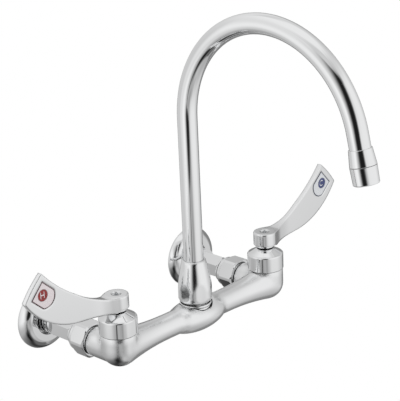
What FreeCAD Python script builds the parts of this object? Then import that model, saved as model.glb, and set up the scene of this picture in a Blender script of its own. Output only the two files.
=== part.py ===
import FreeCAD, Part
import math
import os
import re

import Sketcher

# Two-handle utility faucet for a wall, with a turned-over spout and lever handles.
# +X runs from the hot side to the cold side, +Y runs into the wall and +Z is up.
# The origin lies on the wall, half way between the two inlets and level with them.

document = FreeCAD.newDocument("TwoHandleFaucet")
sheet = document.addObject("Spreadsheet::Sheet", "Sizes")

# Driving sizes in millimetres, with angles in degrees. A size called a height is
# counted upwards from the axis of the casting's two side sockets.
SIZES = {
    # Fits: a turning fit, a thread or other fixed fit, and a gap between stacked faces.
    "running_gap": 0.08,
    "fixed_gap": 0.1,
    "face_gap": 0.05,
    # How far a cut runs on past the surface that it leaves by.
    "cut_room": 1.0,
    # The wall, and how far the offset couplings lift the inlets above the casting.
    "inlet_spacing": 203.2,
    "inlet_lift": 3.2,
    # Wall flange, sizes along its own axis counted from the wall.
    "flange_radius": 31.5,
    "flange_depth": 10.6,
    "flange_rim": 1.6,
    "flange_dome_radius": 14.0,
    "flange_face_radius": 22.0,
    "flange_mouth_radius": 15.6,
    "flange_wall": 1.5,
    "flange_hub_depth": 5.2,
    # Offset wall coupling.
    "coupling_radius": 13.0,
    "coupling_thread_length": 10.5,
    "inlet_thread_radius": 9.13,
    "inlet_thread_length": 16.0,
    "rib_radius": 12.7,
    "rib_root_radius": 11.6,
    "rib_width": 3.4,
    "rib_groove": 1.1,
    "arm_across_flats": 21.5,
    "arm_length": 26.2,
    "arm_shoulder_radius": 12.4,
    "arm_shoulder_length": 1.6,
    "coupling_neck_radius": 9.8,
    "coupling_neck_length": 4.3,
    "tail_radius": 12.2,
    "tail_thickness": 3.0,
    "coupling_bore_radius": 6.0,
    # Union nut and its washer.
    "nut_across_flats": 32.0,
    "nut_corner_radius": 17.7,
    "nut_turn": 30.0,
    "nut_hex_length": 17.1,
    "nut_collar_radius": 15.0,
    "nut_collar_length": 5.0,
    "nut_collar_rounding": 1.2,
    "nut_lip_thickness": 2.0,
    "nut_chamfer_width": 2.0,
    "nut_chamfer_depth": 1.5,
    "washer_hole_radius": 7.0,
    "washer_thickness": 2.0,
    # Casting: sockets, valve towers, bar and spout hub.
    "shank_radius": 14.5,
    "shank_length": 31.2,
    "shank_thread_radius": 12.6,
    "shank_thread_length": 17.7,
    "shank_bore_radius": 5.5,
    "shank_bore_drop": 2.0,
    "tower_radius": 17.5,
    "tower_height": 18.1,
    "tower_neck_radius": 15.4,
    "tower_neck_length": 12.0,
    "bar_rise": 2.6,
    "bar_waist_radius": 11.9,
    "bar_waist_end": 42.0,
    "bar_end_start": 97.4,
    "bar_end_radius": 17.2,
    "waterway_radius": 2.8,
    "waterway_height": 7.0,
    "seat_height": 4.0,
    "inlet_chamber_radius": 8.0,
    "inlet_chamber_depth": 9.0,
    "cartridge_bore_radius": 12.0,
    "hub_height": 10.0,
    "hub_radius": 15.4,
    "hub_root_radius": 13.8,
    "hub_root_depth": 2.0,
    "belly_half_length": 38.0,
    "belly_half_width": 19.0,
    "belly_half_height": 16.0,
    "belly_rise": 1.8,
    "belly_top": 14.9,
    "seat_margin": 1.0,
    "hub_neck_radius": 13.5,
    "hub_neck_length": 22.0,
    "hub_bore_radius": 11.5,
    "hub_bore_depth": 6.0,
    # Valve cartridge.
    "seal_radius": 9.2,
    "seal_hole_radius": 6.6,
    "seal_thickness": 2.0,
    "disc_radius": 9.3,
    "disc_thickness": 2.4,
    "disc_port_radius": 2.5,
    "disc_port_offset": 4.9,
    "skirt_radius": 10.8,
    "skirt_bore_radius": 9.6,
    "housing_radius": 11.8,
    "housing_guide_height": 15.0,
    "housing_flange_radius": 14.4,
    "housing_flange_thickness": 1.6,
    "housing_nose_radius": 7.4,
    "housing_nose_height": 35.0,
    "port_window_width": 7.0,
    "port_window_height": 3.0,
    "stem_radius": 5.0,
    "stem_foot_radius": 9.2,
    "stem_foot_thickness": 3.0,
    "stem_tongue_width": 2.6,
    "stem_tongue_depth": 1.0,
    "stem_square": 7.0,
    "stem_square_start": 41.2,
    "stem_top": 52.0,
    "ring_wire_radius": 1.0,
    "ring_squeeze": 0.15,
    "stem_ring_height": 22.0,
    # Bonnet.
    "bonnet_radius": 18.2,
    "bonnet_base_chamfer": 0.5,
    "bonnet_side_height": 33.2,
    "bonnet_shoulder": 1.6,
    "bonnet_top_height": 39.8,
    "bonnet_top_radius": 8.6,
    "bonnet_seam": 0.4,
    # Lever handle: "out" is counted outwards from the valve's axis.
    "handle_bottom": 41.5,
    "handle_top": 57.2,
    "handle_hub_radius": 11.4,
    "handle_foot_radius": 9.2,
    "handle_foot_height": 2.6,
    "handle_top_rounding": 1.2,
    "handle_blend_angle": 24.0,
    "handle_blend_sink": 0.06,
    "handle_blend_end": 34.0,
    "blade_thickness": 4.8,
    "blade_sink": 0.3,
    "blade_bottom_start": 44.0,
    "blade_bottom_rise": 3.7,
    "blade_bottom_bend": 80.0,
    "blade_low_tip_out": 107.0,
    "blade_low_tip_height": 82.2,
    "blade_high_tip_out": 86.4,
    "blade_high_tip_height": 105.2,
    "blade_tip_bend": 110.0,
    "blade_top_middle_out": 48.0,
    "blade_top_middle_height": 72.8,
    "blade_top_outer_bend": 153.0,
    "blade_top_inner_bend": 96.0,
    "blade_top_start": 14.0,
    # Index plate let into the front of the blade, and its coloured mark.
    "index_inset": 4.4,
    "index_half_width": 10.2,
    "index_side_length": 17.2,
    "index_end_bend": 11.4,
    "index_gap": 0.6,
    "index_thickness": 0.9,
    "index_recess": 1.0,
    "mark_radius": 5.2,
    "mark_offset": 8.7,
    "mark_thickness": 0.4,
    "letter_height": 6.6,
    "letter_width": 5.2,
    "letter_stroke": 1.3,
    "letter_opening": 70.0,
    # Handle screw.
    "screw_head_radius": 4.3,
    "screw_head_height": 2.8,
    "screw_head_sink": 0.8,
    "screw_shank_radius": 2.1,
    "screw_length": 9.0,
    "screw_hole_runout": 1.0,
    "screw_head_rounding": 0.8,
    "screw_socket": 4.0,
    "screw_socket_depth": 1.8,
    # Spout tube, the sleeve on its lower end and what seals it.
    "tube_radius": 9.525,
    "tube_wall": 1.2,
    "tube_foot_height": 16.0,
    "tube_straight_top": 200.6,
    "arc_radius": 102.2,
    "arc_angle": 167.5,
    "sleeve_bottom": 12.8,
    "sleeve_flange_radius": 13.0,
    "sleeve_flange_thickness": 3.0,
    "glide_thickness": 0.6,
    "spout_ring_wire_radius": 0.7,
    "lower_ring_height": 20.0,
    "upper_ring_height": 26.5,
    # Collar and nut round the spout's foot.
    "collar_radius": 15.5,
    "collar_height": 5.4,
    "collar_bead_radius": 1.3,
    "collar_groove_width": 0.6,
    "collar_bead_edge": 0.8,
    "collar_step": 0.9,
    "spout_nut_bottom": 16.4,
    "spout_nut_foot_radius": 14.2,
    "spout_nut_foot_height": 7.6,
    "spout_nut_foot_bend": 9.0,
    "spout_nut_radius": 16.9,
    "spout_nut_belly_height": 30.0,
    "spout_nut_top_radius": 11.5,
    "spout_nut_top": 59.2,
    "spout_nut_side_bend": 230.0,
    "spout_nut_top_rounding": 0.6,
    "spout_nut_across_flats": 31.4,
    "spout_nut_turn": 8.0,
    # Outlet: sizes are counted along the tube from the end of its bend.
    "adapter_start": 12.8,
    "adapter_top_radius": 10.5,
    "adapter_length": 14.6,
    "adapter_shelf": 9.5,
    "adapter_thread_radius": 10.2,
    "adapter_thread_length": 5.6,
    "outlet_bore_radius": 8.0,
    "outlet_radius": 12.0,
    "outlet_lip_radius": 11.6,
    "outlet_length": 16.2,
    "outlet_seam": 0.4,
    "outlet_lip": 1.1,
    "outlet_mouth_radius": 8.6,
    "outlet_lip_rounding": 1.0,
    "adapter_top_rounding": 0.5,
    "outlet_washer_thickness": 1.6,
    "insert_radius": 9.9,
    "insert_bore_radius": 8.2,
    "insert_roof": 1.6,
    "jet_radius": 0.9,
    "jet_circle_radius": 5.4,
    "jet_count": 8,
    "screen_radius": 9.2,
    "screen_thickness": 0.7,
    "screen_hole_radius": 0.62,
    "screen_ring_step": 1.9,
}

for row, (alias, size) in enumerate(SIZES.items(), 1):
    sheet.set(f"A{row}", alias)
    sheet.set(f"B{row}", str(size))
    sheet.setAlias(f"B{row}", alias)
document.recompute()

pieces = []


def cells(text):
    """The expression, with the name of each size pointed at its cell."""
    return re.sub(r"[a-z_]+", lambda word: "Sizes." + word[0] if word[0] in SIZES else word[0], text)


def number(text):
    """What an expression comes to."""
    return float(sheet.evalExpression(cells(text)))


def bind(thing, setting, text):
    """Tie one setting of a thing to an expression."""
    thing.setExpression(setting, cells(text))


# Lengths that follow from the driving sizes.
VALVE_OUT = "inlet_spacing / 2"
RIB_COUNT = 3
ARM_START = f"(coupling_thread_length + {RIB_COUNT} * (rib_width + rib_groove))"
SHOULDER_START = f"({ARM_START} + arm_length)"
NECK_START = f"({SHOULDER_START} + arm_shoulder_length)"
TAIL_START = f"({NECK_START} + coupling_neck_length)"
WASHER_START = f"({TAIL_START} + tail_thickness)"
CASTING_START = f"({WASHER_START} + washer_thickness)"
WALL_DISTANCE = f"({CASTING_START} + shank_thread_length + shank_length)"
AXIS_Y = f"-{WALL_DISTANCE}"
AXIS_Z = "-inlet_lift"
NECK_TOP = "(tower_height + tower_neck_length)"
DISC_START = "(seat_height + seal_thickness)"
MOVING_START = f"({DISC_START} + disc_thickness + face_gap)"
FOOT_START = f"({MOVING_START} + disc_thickness + face_gap)"
HOUSING_ROOF = f"({FOOT_START} + stem_foot_thickness + face_gap)"
CLAMP_HEIGHT = f"({NECK_TOP} + housing_flange_thickness + face_gap)"
HUB_NECK_TOP = "(hub_height + hub_neck_length)"
SLEEVE_SEAT = f"({HUB_NECK_TOP} + glide_thickness + face_gap)"
SLEEVE_TOP = f"({SLEEVE_SEAT} + sleeve_flange_thickness)"
SLEEVE_RADIUS = "(hub_bore_radius - running_gap)"
NUT_START = f"({TAIL_START} - face_gap - nut_lip_thickness)"
NUT_HEX_START = f"({NUT_START} + nut_collar_length)"
NUT_FRONT = f"({NUT_HEX_START} + nut_hex_length)"
ARC_END_Y = f"({AXIS_Y} - arc_radius * (1 - cos(arc_angle)))"
ARC_END_Z = f"({AXIS_Z} + tube_straight_top + arc_radius * sin(arc_angle))"
OUTLET_START = "(adapter_start + adapter_length)"
WASHER_DEPTH = f"({OUTLET_START} + adapter_thread_length)"
INSERT_START = f"({WASHER_DEPTH} + outlet_washer_thickness)"
INSERT_END = f"({OUTLET_START} + outlet_length - outlet_lip)"
STEM_RING_GROOVE = "(stem_radius + 2 * ring_wire_radius - ring_squeeze)"
RING_ROOM = "(ring_wire_radius + face_gap)"
SCREW_SEAT = "(handle_top - screw_head_sink - screw_head_height)"
INDEX_FACE = "(index_recess - index_thickness)"
SPOUT_RING_FLOOR = f"({SLEEVE_RADIUS} - 2 * spout_ring_wire_radius - face_gap)"
SCREEN_RINGS = 4


def left(across, up, bow):
    """A corner whose next side is an arc of radius bow that turns left."""
    return (across, up, bow, 1)


def right(across, up, bow):
    """A corner whose next side is an arc of radius bow that turns right."""
    return (across, up, bow, -1)


def new_body(label, across="0", along=AXIS_Y, up=AXIS_Z, lean_axis=None, lean="0"):
    """An empty piece, placed by expressions and leaning about one axis if asked."""
    body = document.addObject("PartDesign::Body", label)
    body.Label = label
    if lean_axis:
        body.Placement = FreeCAD.Placement(FreeCAD.Vector(), FreeCAD.Rotation(FreeCAD.Vector(*lean_axis), 1))
        bind(body, "Placement.Rotation.Angle", lean)
    for axis, text in zip("xyz", (across, along, up)):
        bind(body, f"Placement.Base.{axis}", text)
    pieces.append(body)
    return body


def new_sketch(body, name, plane, shift=("0", "0", "0"), turn=None):
    """An empty sketch on one of the body's own planes, moved and turned in that plane."""
    sketch = body.newObject("Sketcher::SketchObject", name + "Sketch")
    base = [feature for feature in body.Origin.OriginFeatures if feature.Role == plane + "_Plane"][0]
    sketch.AttachmentSupport = [(base, "")]
    sketch.MapMode = "FlatFace"
    if turn:
        start = FreeCAD.Rotation(FreeCAD.Vector(0, 0, 1), 1)
        sketch.AttachmentOffset = FreeCAD.Placement(FreeCAD.Vector(), start)
        bind(sketch, "AttachmentOffset.Rotation.Angle", turn)
    for axis, text in zip("xyz", shift):
        if text != "0":
            bind(sketch, f"AttachmentOffset.Base.{axis}", text)
    return sketch


def add_measure(sketch, text, kind, *where):
    """A constraint whose size is an expression."""
    index = sketch.addConstraint(Sketcher.Constraint(kind, *where, number(text)))
    bind(sketch, f"Constraints[{index}]", text)


def arc_side(start, end, radius, turns):
    """The short arc between two points, and whether it was drawn from start to end."""
    chord = end - start
    reach = math.sqrt(max(radius ** 2 - (chord.Length / 2) ** 2, 0.0))
    centre = (start + end) * 0.5 + FreeCAD.Vector(-chord.y, chord.x, 0).normalize() * (turns * reach)
    first, last = (start, end) if turns > 0 else (end, start)
    angles = [math.atan2(point.y - centre.y, point.x - centre.x) for point in (first, last)]
    if angles[1] < angles[0]:
        angles[1] += 2 * math.pi
    return Part.ArcOfCircle(Part.Circle(centre, FreeCAD.Vector(0, 0, 1), radius), *angles)


def draw_loop(sketch, corners, closed=True):
    """Sides through the corners, each a pair of expressions, every corner held where it is."""
    points = [FreeCAD.Vector(number(corner[0]), number(corner[1]), 0) for corner in corners]
    sides = []
    count = len(corners) if closed else len(corners) - 1
    for place in range(count):
        start, end = points[place], points[(place + 1) % len(points)]
        if len(corners[place]) == 2:
            sides.append((sketch.addGeometry(Part.LineSegment(start, end), False), 1, 2))
            continue
        bow, turns = corners[place][2:]
        index = sketch.addGeometry(arc_side(start, end, number(bow), turns), False)
        sides.append((index, 1, 2) if turns > 0 else (index, 2, 1))
        add_measure(sketch, bow, "Radius", index)
    for side, following in zip(sides, sides[1:] + sides[:1] if closed else sides[1:]):
        sketch.addConstraint(Sketcher.Constraint("Coincident", side[0], side[2], following[0], following[1]))
    for side, corner in zip(sides, corners):
        add_measure(sketch, corner[0], "DistanceX", -1, 1, side[0], side[1])
        add_measure(sketch, corner[1], "DistanceY", -1, 1, side[0], side[1])
    if not closed:
        add_measure(sketch, corners[-1][0], "DistanceX", -1, 1, sides[-1][0], sides[-1][2])
        add_measure(sketch, corners[-1][1], "DistanceY", -1, 1, sides[-1][0], sides[-1][2])


def draw_circle(sketch, radius, across="0", up="0"):
    """A full circle held by its centre and radius."""
    centre = FreeCAD.Vector(number(across), number(up), 0)
    index = sketch.addGeometry(Part.Circle(centre, FreeCAD.Vector(0, 0, 1), number(radius)), False)
    add_measure(sketch, radius, "Radius", index)
    add_measure(sketch, across, "DistanceX", -1, 1, index, 3)
    add_measure(sketch, up, "DistanceY", -1, 1, index, 3)


def hexagon(across_flats, turn="0"):
    """Corners of a hexagon whose flats face along the angle turn."""
    reach = f"{across_flats} / 2 / cos(30)"
    angles = [f"({turn} + {30 + 60 * corner})" for corner in range(6)]
    return [(f"{reach} * cos({angle})", f"{reach} * sin({angle})") for angle in angles]


def rectangle(low_across, high_across, low_up, high_up):
    """Corners of an upright rectangle."""
    return [(low_across, low_up), (high_across, low_up), (high_across, high_up), (low_across, high_up)]


def turned(body, name, corners, plane="XZ", shift=("0", "0", "0"), axis="V_Axis", cut=False):
    """Turn an outline about an axis of its sketch, to add it or to cut it away."""
    sketch = new_sketch(body, name, plane, shift)
    draw_loop(sketch, corners)
    feature = body.newObject("PartDesign::Groove" if cut else "PartDesign::Revolution", name)
    feature.Profile = (sketch, [""])
    feature.ReferenceAxis = (sketch, [axis])
    feature.Angle = 360
    return feature


def pushed(body, name, sketch, length=None, cut=False, back=False, both_ways=False):
    """Push a sketch along its normal by a length, or right through where none is given."""
    feature = body.newObject("PartDesign::Pocket" if cut else "PartDesign::Pad", name)
    feature.Profile = (sketch, [""])
    feature.Reversed = back
    if both_ways:
        feature.SideType = "Symmetric"
    if length:
        bind(feature, "Length", length)
    else:
        feature.Type = "ThroughAll"
    return feature


def flats(body, name, across_flats, radius, start, length, turn="0"):
    """Cut flats on a round piece from start upwards, by removing what lies outside a hexagon."""
    sketch = new_sketch(body, name, "XY", ("0", "0", start))
    draw_loop(sketch, hexagon(across_flats, turn))
    draw_circle(sketch, f"2 * {radius}")
    return pushed(body, name, sketch, length, cut=True, back=True)


def repeated(body, name, feature, count):
    """Copies of a feature all round the body's upright axis."""
    pattern = body.newObject("PartDesign::PolarPattern", name)
    pattern.Originals = [feature]
    pattern.Axis = ([item for item in body.Origin.OriginFeatures if item.Role == "Z_Axis"][0], [""])
    pattern.Angle = 360
    if isinstance(count, str):
        bind(pattern, "Occurrences", count)
    else:
        pattern.Occurrences = count
    body.Tip = pattern
    return pattern


def both_sides(body, name, features):
    """The mirror images of features on the other side of the spout."""
    mirror = body.newObject("PartDesign::Mirrored", name)
    mirror.Originals = features
    mirror.MirrorPlane = ([item for item in body.Origin.OriginFeatures if item.Role == "YZ_Plane"][0], [""])
    body.Tip = mirror
    return mirror


def faucet_body():
    """The brass casting: two valve towers and side sockets, the bar and the spout's hub."""
    body = new_body("faucet_body")
    at_valve = (VALVE_OUT, "0", "0")
    bar = turned(body, "Bar", [
        ("0", "0"),
        left(f"{VALVE_OUT} + bar_end_radius", "0", "bar_end_radius"),
        (VALVE_OUT, "bar_end_radius"),
        right("bar_end_start", "bar_end_radius",
              "((bar_end_start - bar_waist_end)^2 + (bar_end_radius - bar_waist_radius)^2)"
              " / 2 / (bar_end_radius - bar_waist_radius)"),
        ("bar_waist_end", "bar_waist_radius"),
        ("0", "bar_waist_radius"),
    ], shift=("0", "bar_rise", "0"), axis="H_Axis")
    tower = turned(body, "Tower", [
        left("0", "bar_rise - tower_radius", "tower_radius"),
        ("tower_radius", "bar_rise"),
        ("tower_radius", "tower_height"),
        ("tower_neck_radius", "tower_height"),
        ("tower_neck_radius", NECK_TOP),
        ("0", NECK_TOP),
    ], shift=at_valve)
    shank = turned(body, "Shank", [
        ("0", "0"),
        ("shank_radius", "0"),
        ("shank_radius", "shank_length"),
        ("shank_thread_radius", "shank_length"),
        ("shank_thread_radius", "shank_length + shank_thread_length"),
        ("0", "shank_length + shank_thread_length"),
    ], plane="XY", shift=at_valve)
    both_sides(body, "OtherSide", [bar, tower, shank])
    belly = body.newObject("PartDesign::AdditiveEllipsoid", "Belly")
    bind(belly, "Radius1", "belly_half_height")
    bind(belly, "Radius2", "belly_half_length")
    bind(belly, "Radius3", "belly_half_width")
    bind(belly, "Placement.Base.z", "belly_rise")
    belly_height = "belly_rise + belly_half_height"
    turned(body, "BellyTop", rectangle("0", "belly_half_length", "belly_top", belly_height), cut=True)
    turned(body, "CollarSeat", rectangle("0", "collar_radius + seat_margin", "hub_height", belly_height), cut=True)
    turned(body, "Hub", [
        ("0", "-hub_root_depth"),
        ("hub_root_radius", "-hub_root_depth"),
        ("hub_radius", "hub_height"),
        ("hub_neck_radius", "hub_height"),
        ("hub_neck_radius", HUB_NECK_TOP),
        ("0", HUB_NECK_TOP),
    ])
    turned(body, "HubBore", [
        ("0", "-hub_bore_depth"),
        ("hub_bore_radius", "-hub_bore_depth"),
        ("hub_bore_radius", f"{HUB_NECK_TOP} + cut_room"),
        ("0", f"{HUB_NECK_TOP} + cut_room"),
    ], cut=True)
    chamber = turned(body, "ValveBore", [
        ("0", "-inlet_chamber_depth"),
        ("inlet_chamber_radius", "-inlet_chamber_depth"),
        ("inlet_chamber_radius", "seat_height"),
        ("cartridge_bore_radius", "seat_height"),
        ("cartridge_bore_radius", f"{NECK_TOP} + cut_room"),
        ("0", f"{NECK_TOP} + cut_room"),
    ], shift=at_valve, cut=True)
    inlet = turned(body, "InletBore", [
        ("0", "0"),
        ("shank_bore_radius", "0"),
        ("shank_bore_radius", "shank_length + shank_thread_length + cut_room"),
        ("0", "shank_length + shank_thread_length + cut_room"),
    ], plane="XY", shift=(VALVE_OUT, "0", "-shank_bore_drop"), cut=True)
    waterway = turned(body, "Waterway", [
        ("0", "0"),
        (VALVE_OUT, "0"),
        (VALVE_OUT, "waterway_radius"),
        ("0", "waterway_radius"),
    ], shift=("0", "waterway_height", "0"), axis="H_Axis", cut=True)
    both_sides(body, "OtherBores", [chamber, inlet, waterway])


def bonnet(hand, place):
    """Chromed cap nut that screws on the tower's neck and clamps the cartridge."""
    body = new_body(f"{hand}_bonnet", place)
    base = "(tower_height + bonnet_seam)"
    turned(body, "Cap", [
        ("tower_neck_radius + fixed_gap", base),
        ("bonnet_radius - bonnet_base_chamfer", base),
        ("bonnet_radius", f"{base} + bonnet_base_chamfer"),
        left("bonnet_radius", "bonnet_side_height", "bonnet_shoulder"),
        ("bonnet_radius - bonnet_shoulder", "bonnet_side_height + bonnet_shoulder"),
        ("bonnet_top_radius", "bonnet_top_height"),
        ("stem_radius + running_gap", "bonnet_top_height"),
        ("stem_radius + running_gap", "housing_nose_height + face_gap"),
        ("housing_nose_radius + fixed_gap", "housing_nose_height + face_gap"),
        ("housing_nose_radius + fixed_gap", CLAMP_HEIGHT),
        ("tower_neck_radius + fixed_gap", CLAMP_HEIGHT),
    ])


def cartridge_housing(hand, place):
    """Brass shell of the ceramic cartridge, with two side windows for the water."""
    body = new_body(f"{hand}_cartridge_housing", place)
    skirt_bottom = "(seat_height + face_gap)"
    groove_low = f"(stem_ring_height - {RING_ROOM})"
    groove_high = f"(stem_ring_height + {RING_ROOM})"
    turned(body, "Shell", [
        ("skirt_bore_radius", skirt_bottom),
        ("skirt_radius", skirt_bottom),
        ("skirt_radius", "housing_guide_height"),
        ("housing_radius", "housing_guide_height"),
        ("housing_radius", NECK_TOP),
        ("housing_flange_radius", NECK_TOP),
        ("housing_flange_radius", f"{NECK_TOP} + housing_flange_thickness"),
        ("housing_nose_radius", f"{NECK_TOP} + housing_flange_thickness"),
        ("housing_nose_radius", "housing_nose_height"),
        ("stem_radius + running_gap", "housing_nose_height"),
        ("stem_radius + running_gap", groove_high),
        (f"{STEM_RING_GROOVE} + face_gap", groove_high),
        (f"{STEM_RING_GROOVE} + face_gap", groove_low),
        ("stem_radius + running_gap", groove_low),
        ("stem_radius + running_gap", HOUSING_ROOF),
        ("skirt_bore_radius", HOUSING_ROOF),
    ])
    windows = new_sketch(body, "Windows", "XZ")
    draw_loop(windows, rectangle("-port_window_width / 2", "port_window_width / 2",
                                 MOVING_START, f"{MOVING_START} + port_window_height"))
    pushed(body, "Windows", windows, "2 * skirt_radius + cut_room", cut=True, both_ways=True)


def cartridge_stem(hand, place):
    """Brass stem: a foot with a tongue for the moving disc, a sealed shank and a square top."""
    body = new_body(f"{hand}_cartridge_stem", place)
    hole_bottom = "(stem_top - screw_length - screw_hole_runout)"
    turned(body, "Shank", [
        ("0", FOOT_START),
        ("stem_foot_radius", FOOT_START),
        ("stem_foot_radius", f"{FOOT_START} + stem_foot_thickness"),
        ("stem_radius", f"{FOOT_START} + stem_foot_thickness"),
        ("stem_radius", "stem_top"),
        ("0", "stem_top"),
    ])
    square = new_sketch(body, "Square", "XY", ("0", "0", "stem_square_start"))
    half = "stem_square / 2"
    draw_loop(square, rectangle(f"-{half}", half, f"-{half}", half))
    draw_circle(square, "2 * stem_radius")
    pushed(body, "Square", square, "stem_top - stem_square_start + cut_room", cut=True, back=True)
    tongue = new_sketch(body, "Tongue", "XY", ("0", "0", FOOT_START))
    draw_loop(tongue, rectangle("face_gap - stem_foot_radius", "stem_foot_radius - face_gap",
                                "-stem_tongue_width / 2", "stem_tongue_width / 2"))
    pushed(body, "Tongue", tongue, "stem_tongue_depth", back=True)
    turned(body, "ScrewHole", [
        ("0", hole_bottom),
        ("screw_shank_radius + fixed_gap", hole_bottom),
        ("screw_shank_radius + fixed_gap", "stem_top + cut_room"),
        ("0", "stem_top + cut_room"),
    ], cut=True)


def stem_oring(hand, place):
    """Rubber ring that seals the stem in the housing."""
    body = new_body(f"{hand}_stem_oring", place)
    sketch = new_sketch(body, "Ring", "XZ")
    draw_circle(sketch, "ring_wire_radius - ring_squeeze",
                "stem_radius + running_gap + ring_wire_radius - ring_squeeze", "stem_ring_height")
    ring = body.newObject("PartDesign::Revolution", "Ring")
    ring.Profile = (sketch, [""])
    ring.ReferenceAxis = (sketch, ["V_Axis"])
    ring.Angle = 360


def ceramic_disc(label, place, start, grooved):
    """One ceramic disc with two ports, the upper one slotted for the stem's tongue."""
    body = new_body(label, place)
    turned(body, "Disc", [
        ("0", start),
        ("disc_radius", start),
        ("disc_radius", f"{start} + disc_thickness"),
        ("0", f"{start} + disc_thickness"),
    ])
    ports = new_sketch(body, "Ports", "XY")
    for side in ("", "-"):
        spot = f"{side}disc_port_offset"
        draw_circle(ports, "disc_port_radius", *(("0", spot) if grooved else (spot, "0")))
    pushed(body, "Ports", ports, f"{start} + disc_thickness + cut_room", cut=True, back=True)
    if grooved:
        slot = new_sketch(body, "Slot", "XY", ("0", "0", f"{start} + disc_thickness"))
        draw_loop(slot, rectangle("-disc_radius - cut_room", "disc_radius + cut_room",
                                  "-stem_tongue_width / 2 - face_gap", "stem_tongue_width / 2 + face_gap"))
        pushed(body, "Slot", slot, "stem_tongue_depth", cut=True)


def seat_seal(hand, place):
    """Rubber ring between the casting's seat and the fixed disc."""
    body = new_body(f"{hand}_seat_seal", place)
    turned(body, "Ring", rectangle("seal_hole_radius", "seal_radius", "seat_height",
                                   "seat_height + seal_thickness"))


TIP_ANGLE = ("atan2(blade_low_tip_out - blade_high_tip_out;"
             " blade_high_tip_height - blade_low_tip_height)")
INDEX_OUT = f"((blade_high_tip_out + blade_low_tip_out) / 2 - index_inset * cos({TIP_ANGLE}))"
INDEX_HEIGHT = f"((blade_high_tip_height + blade_low_tip_height) / 2 - index_inset * sin({TIP_ANGLE}))"
BLEND_REACH = "(handle_hub_radius - handle_blend_sink)"
BLEND_BEND = ("((tan(handle_blend_angle) * handle_blend_end + blade_thickness / 2"
              f" - {BLEND_REACH} / cos(handle_blend_angle)) / (1 / cos(handle_blend_angle) - 1))")


def index_outline(inset):
    """Outline of the index plate: a straight edge along the blade's tip and a round inner end."""
    low, high = f"{inset} - index_half_width", f"index_half_width - {inset}"
    return [
        (f"-{inset}", low),
        (f"-{inset}", high),
        left("-index_side_length", high, f"index_end_bend - {inset}"),
        ("-index_side_length", low),
    ]


def face_level(side, depth):
    """How far a sketch is moved to lie a depth below the front face of a blade."""
    return f"blade_thickness / 2 - ({depth})" if side > 0 else f"({depth}) - blade_thickness / 2"


def face_sketch(body, name, side, depth="0"):
    """A sketch on the front face of a blade, its origin in the middle of the index plate's tip edge."""
    return new_sketch(body, name, "XZ", (INDEX_OUT, INDEX_HEIGHT, face_level(side, depth)), turn=TIP_ANGLE)


def mark_sketch(body, name, side, depth):
    """An upright sketch on the index plate, its origin in the middle of the coloured mark."""
    across = f"{INDEX_OUT} - mark_offset * cos({TIP_ANGLE})"
    height = f"{INDEX_HEIGHT} - mark_offset * sin({TIP_ANGLE})"
    return new_sketch(body, name, "XZ", (across, height, face_level(side, depth)))


def handle(hand, place, side):
    """Chromed lever: a round hub that narrows into a flat upright blade."""
    body = hand_body(f"{hand}_handle", place, side)
    blade = new_sketch(body, "Blade", "XZ")
    draw_loop(blade, [
        ("0", "handle_bottom + handle_foot_height"),
        ("handle_foot_radius", "handle_bottom + blade_sink"),
        left("blade_bottom_start", "handle_bottom + blade_bottom_rise", "blade_bottom_bend"),
        left("blade_low_tip_out", "blade_low_tip_height", "blade_tip_bend"),
        right("blade_high_tip_out", "blade_high_tip_height", "blade_top_outer_bend"),
        right("blade_top_middle_out", "blade_top_middle_height", "blade_top_inner_bend"),
        ("blade_top_start", "handle_top - blade_sink"),
        ("0", "handle_top - blade_sink"),
    ])
    pushed(body, "Blade", blade, "2 * handle_hub_radius", both_ways=True)
    for name, sign in (("FrontTaper", "-"), ("BackTaper", "")):
        taper = new_sketch(body, name, "XY")
        outward = right if sign else left
        draw_loop(taper, [
            ("0", f"{sign}blade_thickness / 2"),
            (f"{BLEND_REACH} * sin(handle_blend_angle)", f"{sign}{BLEND_REACH} * cos(handle_blend_angle)"),
            outward(f"handle_blend_end - {BLEND_BEND} * sin(handle_blend_angle)",
                    f"{sign}(blade_thickness / 2 + {BLEND_BEND} * (1 - cos(handle_blend_angle)))",
                    BLEND_BEND),
            ("handle_blend_end", f"{sign}blade_thickness / 2"),
            ("blade_low_tip_out + blade_tip_bend", f"{sign}blade_thickness / 2"),
            ("blade_low_tip_out + blade_tip_bend", f"{sign}(handle_hub_radius + cut_room)"),
            ("0", f"{sign}(handle_hub_radius + cut_room)"),
        ])
        pushed(body, name, taper, "blade_high_tip_height + cut_room", cut=True, back=True)
    turned(body, "Hub", [
        ("0", "handle_bottom"),
        ("handle_foot_radius", "handle_bottom"),
        ("handle_hub_radius", "handle_bottom + handle_foot_height"),
        left("handle_hub_radius", "handle_top - handle_top_rounding", "handle_top_rounding"),
        ("handle_hub_radius - handle_top_rounding", "handle_top"),
        ("0", "handle_top"),
    ])
    turned(body, "ScrewSeat", [
        ("0", "stem_top - cut_room"),
        ("screw_shank_radius + fixed_gap", "stem_top - cut_room"),
        ("screw_shank_radius + fixed_gap", SCREW_SEAT),
        ("screw_head_radius + fixed_gap", SCREW_SEAT),
        ("screw_head_radius + fixed_gap", "handle_top + cut_room"),
        ("0", "handle_top + cut_room"),
    ], cut=True)
    socket = new_sketch(body, "Socket", "XY")
    half = "(stem_square / 2 + face_gap)"
    draw_loop(socket, rectangle(f"-{half}", half, f"-{half}", half))
    pushed(body, "Socket", socket, "stem_top + face_gap", cut=True, back=True)
    recess = face_sketch(body, "Recess", side)
    draw_loop(recess, index_outline("0"))
    pushed(body, "Recess", recess, "index_recess", cut=True, back=side < 0)


def hand_body(label, place, side):
    """A body whose +X points outwards from the spout, on either side."""
    return new_body(label, place, lean_axis=(0, 0, 1), lean="0" if side > 0 else "180")


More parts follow.
